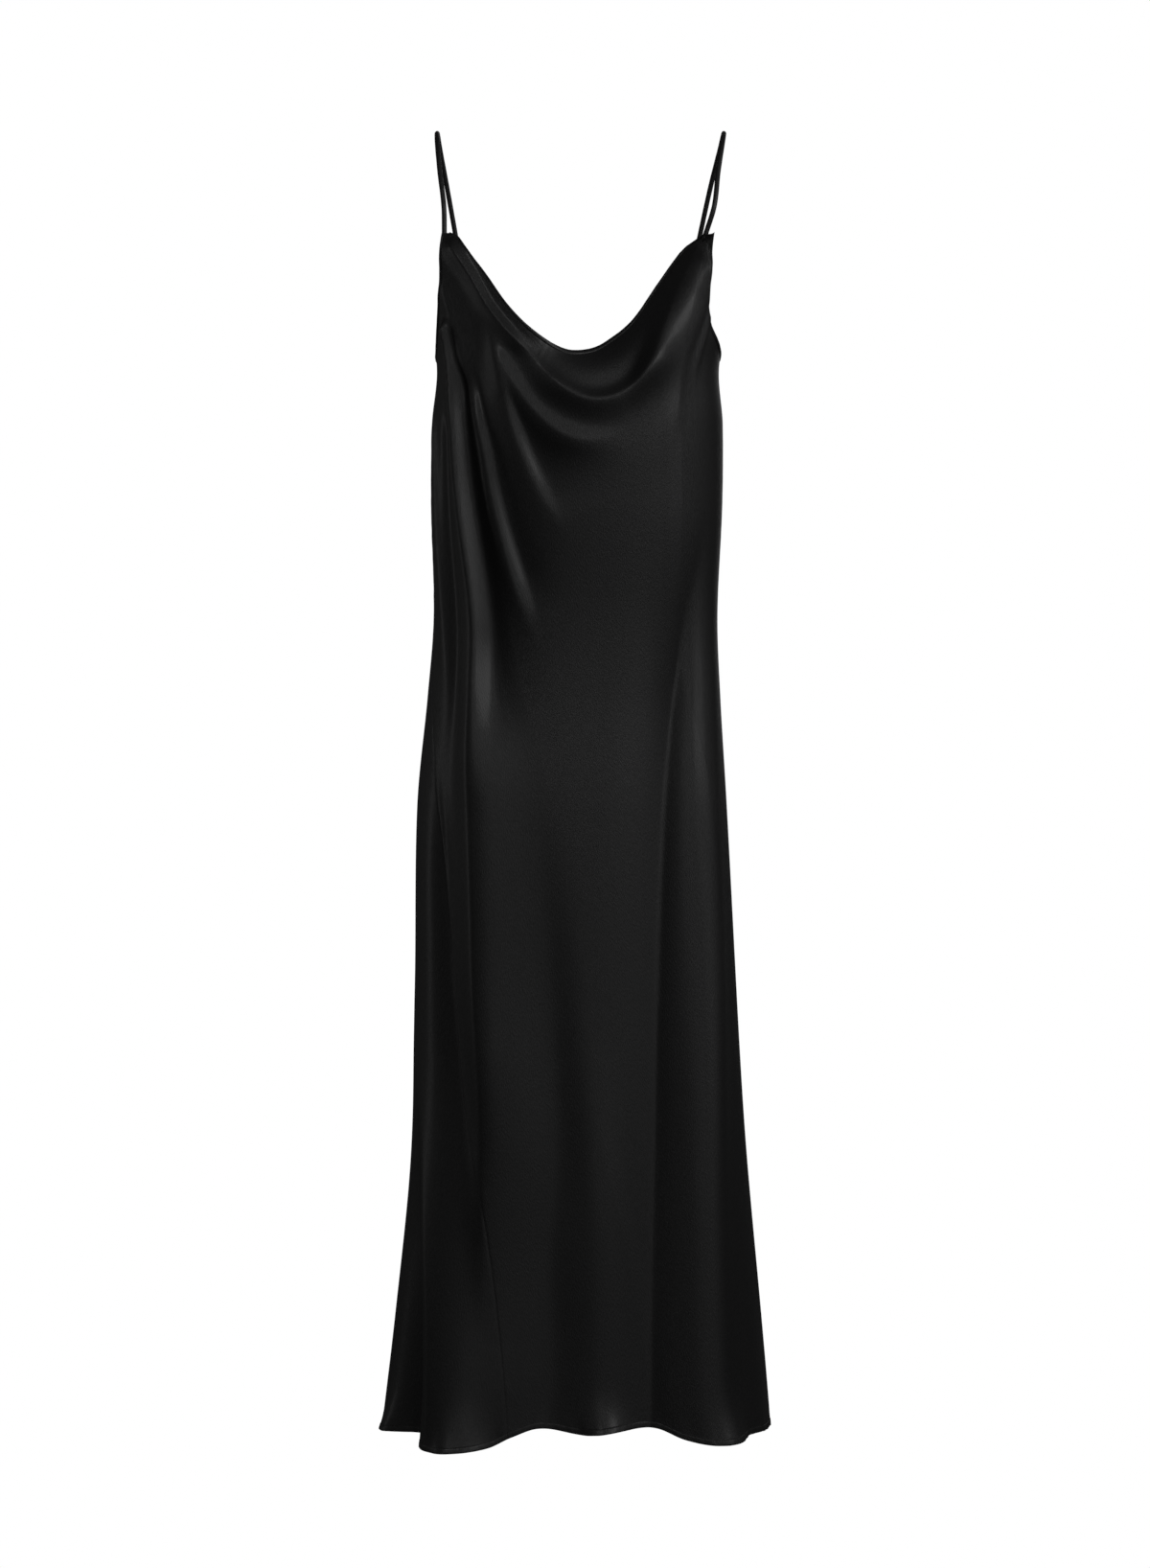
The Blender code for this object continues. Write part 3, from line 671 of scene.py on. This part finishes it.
def cloth_edges(cloth):
    """Every turned or bound edge of the dress, as rows of its panels.

    Proud is how far it stands off the cloth, wave and seed make its ripple, and its
    stitches lie at stitch_depth from the fold.
    """
    left_tip, left_neck, right_neck, right_tip = (
        column_at("front", a) for a in (-TIP_OUTER, -TIP_INNER, TIP_INNER, TIP_OUTER))
    right_seat, left_seat = (
        column_at("back", a) for a in (RIGHT_STRAP_AT_BACK, LEFT_STRAP_AT_BACK))
    left = join_strips(turned(edge_strip("front", "top", 0, left_tip + 1)),
                       turned(edge_strip("back", "top", left_seat, None)))
    right = join_strips(edge_strip("front", "top", right_tip, None),
                        edge_strip("back", "top", 0, right_seat + 1))
    neck = edge_strip("front", "top", left_neck, right_neck + 1)
    back_neck = edge_strip("back", "top", right_seat, left_seat + 1)
    hem = ("satin_face", "satin", (), cloth.pucker * 0.6, 7, 0.0042)
    bound = (EDGE_PROUD, "rouleau_satin", "rouleau")
    return (
        Edge("hem_front", edge_strip("front", "hem"), HEM_PROUD, *hem),
        Edge("hem_back", edge_strip("back", "hem"), HEM_PROUD, *hem),
        Edge("neck_edge", neck, NECK_PROUD, "satin_face", "satin", (), 0.0001, 2, 0.003),
        Edge("armhole_left", left, *bound, ("armhole_binding_left",), 0.0001, 4, 0.0031),
        Edge("armhole_right", right, *bound, ("armhole_binding_right",), 0.0001, 4, 0.0031),
        Edge("back_neck", back_neck, *bound, ("back_neck_binding",), 0.0001, 6, 0.0031),
    )


def band_mesh(edge, wall):
    """A band folded over an edge: a closed tube round the rows of a strip."""
    points, normals, depths = edge.strip
    lift = edge.wave * ripple(walked(points[:1], 1), edge.seed)
    rise = unit(points[0] - points[1])
    swell = edge.proud * np.sqrt(np.clip(1.02 - (depths / depths[-1]) ** 4, 0.0, 1.0))
    outer = points + normals * (swell[:, None] + lift)[..., None]
    inner = points - normals * (wall + swell[:, None] - lift)[..., None]
    middle = (outer[0] + inner[0]) / 2
    half = (outer[0] - inner[0]) / 2
    crowns = [middle + half * math.cos(turn) + rise * (wall / 2 + edge.proud) * math.sin(turn)
              for turn in np.radians((30.0, 65.0, 90.0, 115.0, 150.0))]
    ring = np.concatenate([outer[::-1], np.array(crowns), inner], axis=0)
    return tube_of_rings(edge.name, ring.transpose(1, 0, 2))


def tube_of_rings(name, rings):
    """A closed tube through rings of points, its normals outward, its map in metres."""
    count, sides = rings.shape[:2]
    mesh = bpy.data.meshes.new(name)
    build = bmesh.new()
    layer = build.loops.layers.uv.new("cloth")
    corners = [[build.verts.new(place) for place in ring] for ring in rings.tolist()]
    length = walked(rings.mean(axis=1), 0)
    round_way = walked(np.concatenate([rings[0], rings[0, :1]]), 0)
    for i in range(count - 1):
        for j in range(sides):
            k = (j + 1) % sides
            face = build.faces.new((corners[i][j], corners[i][k],
                                    corners[i + 1][k], corners[i + 1][j]))
            face.smooth = True
            spots = ((i, j), (i, j + 1), (i + 1, j + 1), (i + 1, j))
            for loop, (step, side) in zip(face.loops, spots):
                loop[layer].uv = (length[step], round_way[side])
    for end in (corners[0], corners[-1]):
        build.faces.new(end)
    bmesh.ops.recalc_face_normals(build, faces=build.faces)
    build.to_mesh(mesh)
    build.free()
    return mesh


def make_band(edge, cloth):
    mesh = band_mesh(edge, cloth.wall)
    mesh.materials.append(bpy.data.materials[edge.material])
    return add_object(edge.name, mesh)


def strap_route(side):
    """Middle line of a strap, from inside the front's corner to inside the back."""
    front, back = sheet_of("front"), sheet_of("back")
    corner = column_at("front", -TIP_OUTER if side == "left" else TIP_INNER)
    seat = column_at("back", LEFT_STRAP_AT_BACK if side == "left" else RIGHT_STRAP_AT_BACK)
    sink = CLOTH_WALL + STRAP_THICKNESS / 2
    front_top_point = front.points[0, corner:corner + 2].mean(axis=0)
    front_normal = unit(front.normals[0, corner:corner + 2].mean(axis=0))
    back_top_point, back_normal = back.points[0, seat], back.normals[0, seat]
    middle = [np.array(place) for place in STRAP_ROUTES[side]]
    down_front = unit(front_top_point - middle[0])
    down_back = unit(back_top_point - middle[-1])
    start = front_top_point - front_normal * sink
    end = back_top_point - back_normal * sink
    route = ([start + down_front * STRAP_INSIDE, start] + middle
             + [end, end + down_back * STRAP_INSIDE])
    return resample(route, STRAP_RINGS)


def make_strap(side):
    """A soft rouleau: a narrow tube of satin, a little flattened, with rounded ends."""
    route = strap_route(side)
    tangent = unit(np.gradient(route, axis=0))
    width_way = unit(np.cross(tangent, np.array([-1.0 if side == "left" else 1.0, 0.0, 0.0])))
    depth_way = unit(np.cross(width_way, tangent))
    turn = np.linspace(0.0, 2 * math.pi, 16, endpoint=False)
    along = walked(route, 0)
    uneven = 1 + 0.015 * ripple(along, 5 if side == "left" else 11)
    ends = np.minimum(along, along[-1] - along)
    taper = np.sqrt(np.clip(1 - (1 - ends / STRAP_TIP) ** 2, 0.08, 1.0))
    taper = np.where(ends > STRAP_TIP, 1.0, taper)
    size = (uneven * taper)[:, None, None]
    rings = (route[:, None]
             + size * STRAP_THICKNESS / 2 * np.cos(turn)[None, :, None] * depth_way[:, None]
             + size * STRAP_WIDTH / 2 * np.sin(turn)[None, :, None] * width_way[:, None])
    mesh = tube_of_rings("strap_" + side, rings)
    mesh.materials.append(bpy.data.materials["rouleau_satin"])
    return add_object("rouleau_" + side, mesh)


# ---------- stitches
def stitch_tree():
    """Nodes that set stitches along a line; its "lift" says which way is outward."""
    tree = bpy.data.node_groups.new("stitches", "GeometryNodeTree")
    for name, kind in (("Line", "Geometry"), ("Pitch", "Float"), ("Length", "Float"),
                       ("Thickness", "Float"), ("Turn", "Float"), ("Seed", "Int"),
                       ("Thread", "Material")):
        tree.interface.new_socket(name, in_out="INPUT", socket_type="NodeSocket" + kind)
    tree.interface.new_socket("Stitches", in_out="OUTPUT", socket_type="NodeSocketGeometry")
    given = add_node(tree, "NodeGroupInput")
    made = add_node(tree, "NodeGroupOutput")
    line = add_node(tree, "GeometryNodeMeshToCurve")
    spots = add_node(tree, "GeometryNodeResampleCurve", mode="LENGTH")
    bead = add_node(tree, "GeometryNodeMeshUVSphere",
                    inputs={"Segments": 8, "Rings": 5, "Radius": 0.5})
    size = add_node(tree, "ShaderNodeCombineXYZ")
    stitch = add_node(tree, "GeometryNodeTransform")
    tangent = add_node(tree, "GeometryNodeInputTangent")
    lift = add_node(tree, "GeometryNodeInputNamedAttribute", data_type="FLOAT_VECTOR",
                    inputs={"Name": "lift"})
    lengthways = add_node(tree, "FunctionNodeAlignRotationToVector", axis="X")
    upright = add_node(tree, "FunctionNodeAlignRotationToVector", axis="Z", pivot_axis="X")
    least = add_node(tree, "ShaderNodeMath", operation="MULTIPLY", inputs={1: -1.0})
    chance = add_node(tree, "FunctionNodeRandomValue", data_type="FLOAT")
    askew = add_node(tree, "FunctionNodeAxisAngleToRotation", inputs={"Axis": (0, 0, 1)})
    turned_bit = add_node(tree, "FunctionNodeRotateRotation", rotation_space="LOCAL")
    placed = add_node(tree, "GeometryNodeInstanceOnPoints")
    real = add_node(tree, "GeometryNodeRealizeInstances")
    finish = add_node(tree, "GeometryNodeSetMaterial")
    link(tree, (given, "Line", line, "Mesh"), (line, "Curve", spots, "Curve"),
         (given, "Pitch", spots, "Length"), (given, "Length", size, "X"),
         (given, "Thickness", size, "Y"), (given, "Thickness", size, "Z"),
         (bead, "Mesh", stitch, "Geometry"), (size, "Vector", stitch, "Scale"),
         (tangent, "Tangent", lengthways, "Vector"), (lengthways, "Rotation", upright, "Rotation"),
         (lift, "Attribute", upright, "Vector"), (given, "Turn", least, 0), (least, 0, chance, 2),
         (given, "Turn", chance, 3), (given, "Seed", chance, "Seed"), (chance, 1, askew, "Angle"),
         (upright, "Rotation", turned_bit, "Rotation"),
         (askew, "Rotation", turned_bit, "Rotate By"), (spots, "Curve", placed, "Points"),
         (stitch, "Geometry", placed, "Instance"), (turned_bit, "Rotation", placed, "Rotation"),
         (placed, "Instances", real, "Geometry"), (real, "Geometry", finish, "Geometry"),
         (given, "Thread", finish, "Material"), (finish, "Geometry", made, "Stitches"))
    return tree


def stitch_line(edge):
    """A line of edges on a band's outer side, at a depth from its folded edge."""
    points, normals, depths = edge.strip
    low = int(np.searchsorted(depths, edge.stitch_depth)) - 1
    share = (edge.stitch_depth - depths[low]) / (depths[low + 1] - depths[low])
    normals = unit(normals[low] * (1 - share) + normals[low + 1] * share)
    swell = edge.proud * math.sqrt(1.02 - (edge.stitch_depth / depths[-1]) ** 4)
    points = points[low] * (1 - share) + points[low + 1] * share + normals * swell
    name = "stitches_" + edge.name
    mesh = bpy.data.meshes.new(name)
    mesh.from_pydata(points.tolist(), [(i, i + 1) for i in range(len(points) - 1)], [])
    lift = mesh.attributes.new("lift", "FLOAT_VECTOR", "POINT")
    lift.data.foreach_set("vector", normals.ravel().astype(np.float32))
    return add_object(name, mesh)


def make_stitches(edge, tree, cloth, seed):
    """A row of stitches along a band, as one plain mesh."""
    row = stitch_line(edge)
    nodes = row.modifiers.new("stitches", "NODES")
    nodes.node_group = tree
    chosen = {"Pitch": cloth.stitch_pitch, "Length": STITCH_SHARE * cloth.stitch_pitch,
              "Thickness": cloth.stitch_thickness, "Turn": STITCH_TURN, "Seed": seed,
              "Thread": bpy.data.materials["sewing_thread"]}
    for socket in tree.interface.items_tree:
        if socket.name in chosen:
            nodes[socket.identifier] = chosen[socket.name]
    graph = bpy.context.evaluated_depsgraph_get()
    mesh = bpy.data.meshes.new_from_object(row.evaluated_get(graph))
    row.modifiers.clear()
    if not len(mesh.polygons):
        raise RuntimeError("no stitches were made for " + edge.name)
    mesh.name = row.name
    row.data = mesh
    return row


# ---------- finishes
def new_material(name, colour, roughness):
    """The node tree and the shader of a new material."""
    material = bpy.data.materials.new(name)
    material.use_nodes = True
    shader = material.node_tree.nodes["Principled BSDF"]
    shader.inputs["Base Color"].default_value = (*colour, 1.0)
    shader.inputs["Roughness"].default_value = roughness
    return material.node_tree, shader


def add_node(tree, kind, inputs=None, **settings):
    node = tree.nodes.new(kind)
    for key, value in settings.items():
        setattr(node, key, value)
    for key, value in (inputs or {}).items():
        node.inputs[key].default_value = value
    return node


def link(tree, *ways):
    """Link sockets, each way given as a node, its output, a second node and its input."""
    for start, output, end, entry in ways:
        tree.links.new(start.outputs[output], end.inputs[entry])


def make_satin(name, finish, colour, grain_strength, coat=0.0, coat_roughness=0.03):
    """Satin: fine threads on the bias, a soft unevenness of the sheen, and a thin gloss."""
    tree, shader = new_material(name, colour, finish.roughness)
    shader.inputs["Coat Weight"].default_value = coat
    shader.inputs["Coat Roughness"].default_value = coat_roughness
    place = add_node(tree, "ShaderNodeUVMap", uv_map="cloth")
    turn = add_node(tree, "ShaderNodeMapping", inputs={
        "Rotation": (0.0, 0.0, math.radians(45.0)), "Scale": (1.0, 0.35, 1.0)})
    grain = add_node(tree, "ShaderNodeTexNoise", inputs={
        "Scale": 1.0 / finish.thread, "Detail": 2.0, "Roughness": 0.6})
    bump = add_node(tree, "ShaderNodeBump", inputs={
        "Strength": grain_strength, "Distance": 0.0005})
    mottle = add_node(tree, "ShaderNodeTexNoise", inputs={"Scale": 210.0, "Detail": 3.0})
    sheen = add_node(tree, "ShaderNodeMapRange", inputs={
        "From Min": 0.25, "From Max": 0.75, "To Min": finish.roughness - SHEEN_SPREAD,
        "To Max": finish.roughness + SHEEN_SPREAD})
    link(tree, (place, "UV", turn, "Vector"), (turn, "Vector", grain, "Vector"),
         (grain, "Fac", bump, "Height"), (bump, "Normal", shader, "Normal"),
         (place, "UV", mottle, "Vector"), (mottle, "Fac", sheen, "Value"),
         (sheen, "Result", shader, "Roughness"))


def make_thread(finish):
    """Dull polyester thread, a little lighter than the cloth."""
    tree, shader = new_material("sewing_thread", finish.thread_colour, 0.55)
    place = add_node(tree, "ShaderNodeTexCoord")
    twist = add_node(tree, "ShaderNodeTexNoise", inputs={"Scale": 4000.0, "Detail": 1.0})
    bump = add_node(tree, "ShaderNodeBump", inputs={"Strength": 0.5, "Distance": 0.0001})
    link(tree, (place, "Object", twist, "Vector"), (twist, "Fac", bump, "Height"),
         (bump, "Normal", shader, "Normal"))


# ---------- operators
def settle(piece, slot, *nodes):
    """Hang a finished piece on the frame."""
    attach(piece, "root")
    if nodes:
        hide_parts(*nodes)
    return piece


class SLIPDRESS_OT_finishes(bpy.types.Operator):
    """Make the satin's two sides, the satin of the rouleaux, and the thread"""
    bl_idname = "slipdress.finishes"
    bl_label = "Satin finishes"

    def execute(self, context):
        finish = context.scene.slip_finish
        make_satin("satin_face", finish, finish.colour, 0.9, 0.16, 0.28)
        make_satin("satin_reverse", finish, finish.inside_colour, 0.4)
        make_satin("rouleau_satin", finish, finish.colour, 0.8, 0.15, 0.35)
        make_thread(finish)
        return {"FINISHED"}


class SLIPDRESS_OT_panels(bpy.types.Operator):
    """Lay the front and the back panel on the frame"""
    bl_idname = "slipdress.panels"
    bl_label = "Front and back"

    def execute(self, context):
        for name, node in (("front_panel", "front"), ("back_panel", "back")):
            settle(make_panel(name, node, context.scene.slip_cloth), "satin", node)
        return {"FINISHED"}


class SLIPDRESS_OT_edges(bpy.types.Operator):
    """Turn the neck edge and the hem, and bind the armholes and the back neck"""
    bl_idname = "slipdress.edges"
    bl_label = "Hem, neck edge and bindings"

    def execute(self, context):
        cloth = context.scene.slip_cloth
        for edge in cloth_edges(cloth):
            settle(make_band(edge, cloth), edge.slot, *edge.replaced)
        return {"FINISHED"}


class SLIPDRESS_OT_stitches(bpy.types.Operator):
    """Sew a row of stitches along the hem, the neck edge and the bindings"""
    bl_idname = "slipdress.stitches"
    bl_label = "Stitches"

    def execute(self, context):
        cloth = context.scene.slip_cloth
        tree = stitch_tree()
        for number, edge in enumerate(cloth_edges(cloth)):
            settle(make_stitches(edge, tree, cloth, number + 1), edge.slot)
        return {"FINISHED"}


class SLIPDRESS_OT_straps(bpy.types.Operator):
    """Sew on the two rouleau straps"""
    bl_idname = "slipdress.straps"
    bl_label = "Straps"

    def execute(self, context):
        for side in ("left", "right"):
            settle(make_strap(side), "rouleau", "strap_" + side)
        return {"FINISHED"}


class SLIPDRESS_OT_cut(bpy.types.Operator):
    """A step that does nothing: the flat cut of the panels is not stated"""
    bl_idname = "slipdress.cut"
    bl_label = "Cut of the panels"

    def execute(self, context):
        return {"FINISHED"}


def add_area_light(name, light, power):
    data = bpy.data.lights.new(name, "AREA")
    data.shape = "RECTANGLE"
    data.size, data.size_y = light.size
    data.energy = power
    lamp = add_object(name, data)
    lamp.location = light.place
    lamp.rotation_euler = (
        Vector(light.target) - lamp.location).to_track_quat("-Z", "Y").to_euler()


def show_white(tree, output, glow, felt):
    """White where the camera sees it directly, and another shader for all other rays."""
    shown = add_node(tree, glow, inputs={"Color": (1, 1, 1, 1), "Strength": 1.0})
    path = add_node(tree, "ShaderNodeLightPath")
    mix = add_node(tree, "ShaderNodeMixShader")
    link(tree, (path, "Is Camera Ray", mix, 0), (felt, 0, mix, 1), (shown, 0, mix, 2),
         (mix, 0, output, "Surface"))


class SLIPDRESS_OT_stage(bpy.types.Operator):
    """Set up the floor, the lights and the camera"""
    bl_idname = "slipdress.stage"
    bl_label = "Stage"

    def execute(self, context):
        stage = context.scene.slip_stage
        low, high = (np.array(corner) for corner in CAD_BOX)
        middle_z = (low[2] + high[2]) / 2
        world = bpy.data.worlds.new("studio")
        context.scene.world = world
        world.use_nodes = True
        tree = world.node_tree
        output = next(n for n in tree.nodes if n.type == "OUTPUT_WORLD")
        felt = add_node(tree, "ShaderNodeBackground",
                        inputs={"Color": (1, 1, 1, 1), "Strength": ROOM_LIGHT})
        show_white(tree, output, "ShaderNodeBackground", felt)

        bpy.ops.mesh.primitive_circle_add(
            vertices=64, radius=FLOOR_RADIUS, fill_type="NGON",
            location=(0.0, 0.0, low[2] - stage.floor_drop))
        floor = context.active_object
        floor.name = "floor"
        material = bpy.data.materials.new("pale_floor")
        material.use_nodes = True
        tree = material.node_tree
        tree.nodes.clear()
        output = add_node(tree, "ShaderNodeOutputMaterial")
        felt = add_node(tree, "ShaderNodeBsdfDiffuse", inputs={"Color": (0.12, 0.12, 0.12, 1)})
        show_white(tree, output, "ShaderNodeEmission", felt)
        floor.data.materials.append(material)

        for name, light in LIGHTS.items():
            add_area_light(name, light, getattr(stage, name + "_strength"))

        data = bpy.data.cameras.new("camera")
        data.sensor_fit = "HORIZONTAL"
        data.sensor_width = 36.0
        data.lens = data.sensor_width * stage.camera_distance / SEEN_WIDTH
        camera = add_object("camera", data)
        camera.location = (CAMERA_SIDE, -stage.camera_distance, middle_z - CAMERA_DROP)
        camera.rotation_euler = (math.radians(90.0), 0.0, 0.0)
        context.scene.camera = camera
        context.scene.view_settings.view_transform = "Standard"
        return {"FINISHED"}


class SLIPDRESS_PT_panel(bpy.types.Panel):
    """The dress's pieces, in the order they are made"""
    bl_idname = "SLIPDRESS_PT_panel"
    bl_label = "Slip dress"
    bl_space_type = "VIEW_3D"
    bl_region_type = "UI"
    bl_category = "Dress"

    def draw(self, context):
        layout = self.layout
        for group in (context.scene.slip_cloth, context.scene.slip_finish,
                      context.scene.slip_stage):
            box = layout.box()
            for name in group.__annotations__:
                box.prop(group, name)
        for operator in OPERATORS:
            layout.operator(operator.bl_idname)


SETTINGS = (
    ("slip_cloth", SlipClothSettings),
    ("slip_finish", SlipFinishSettings),
    ("slip_stage", SlipStageSettings),
)
OPERATORS = (
    SLIPDRESS_OT_finishes,
    SLIPDRESS_OT_panels,
    SLIPDRESS_OT_edges,
    SLIPDRESS_OT_stitches,
    SLIPDRESS_OT_straps,
    SLIPDRESS_OT_cut,
    SLIPDRESS_OT_stage,
)


def register():
    for name, group in SETTINGS:
        bpy.utils.register_class(group)
        setattr(bpy.types.Scene, name, PointerProperty(type=group))
    for operator in OPERATORS:
        bpy.utils.register_class(operator)
    bpy.utils.register_class(SLIPDRESS_PT_panel)


def unregister():
    bpy.utils.unregister_class(SLIPDRESS_PT_panel)
    for operator in reversed(OPERATORS):
        bpy.utils.unregister_class(operator)
    for name, group in reversed(SETTINGS):
        delattr(bpy.types.Scene, name)
        bpy.utils.unregister_class(group)


def main():
    register()
    bpy.ops.slipdress.finishes()
    bpy.ops.slipdress.panels()
    bpy.ops.slipdress.edges()
    bpy.ops.slipdress.stitches()
    bpy.ops.slipdress.straps()
    bpy.ops.slipdress.cut()
    bpy.ops.slipdress.stage()


if __name__ == "__main__":
    main()
